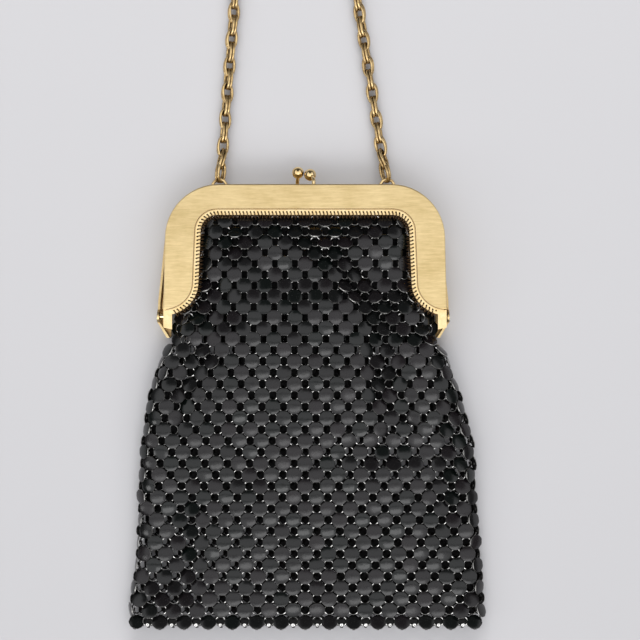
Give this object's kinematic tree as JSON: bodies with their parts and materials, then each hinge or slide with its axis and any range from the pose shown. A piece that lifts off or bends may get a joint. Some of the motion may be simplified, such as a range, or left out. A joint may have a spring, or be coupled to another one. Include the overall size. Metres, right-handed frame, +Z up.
{
  "type": "metal mesh purse",
  "caption": "Small frame purse lying flat: a brushed gold hinged frame with ball clasp, a linked chain handle and a soft bag of ring mesh faced with black enamel discs.",
  "frame": {"origin": "under the middle of the whole purse and its chain, on the surface that it lies on", "axes": "+X to the purse's right as it is seen from above, +Y from the bag towards the chain, +Z up out of the front panel"},
  "size_m": [0.1514, 0.3924, 0.019],
  "materials": {
    "brushed_gold": "fine horizontal brushing, satin",
    "polished_gold": "polished",
    "chain_gold": "polished wire, darker in the hollows",
    "black_enamel": "glossy black enamel discs",
    "ring_silver": "bare silvery wire",
    "sewing_bronze": "dark bronze wire that sews the mesh to the rims"
  },
  "bodies": {
    "root": {"frame_front": "brushed_gold", "rim_front": "polished_gold", "frame_back": "brushed_gold", "rim_back": "polished_gold", "hinge_pin_left": "polished_gold", "hinge_pin_right": "polished_gold", "clasp_ball_front": "polished_gold", "clasp_ball_back": "polished_gold", "chain_bail_left": "chain_gold", "chain_bail_right": "chain_gold", "chain": "chain_gold", "mesh_bag": "black_enamel"}
  },
  "joints": []
}
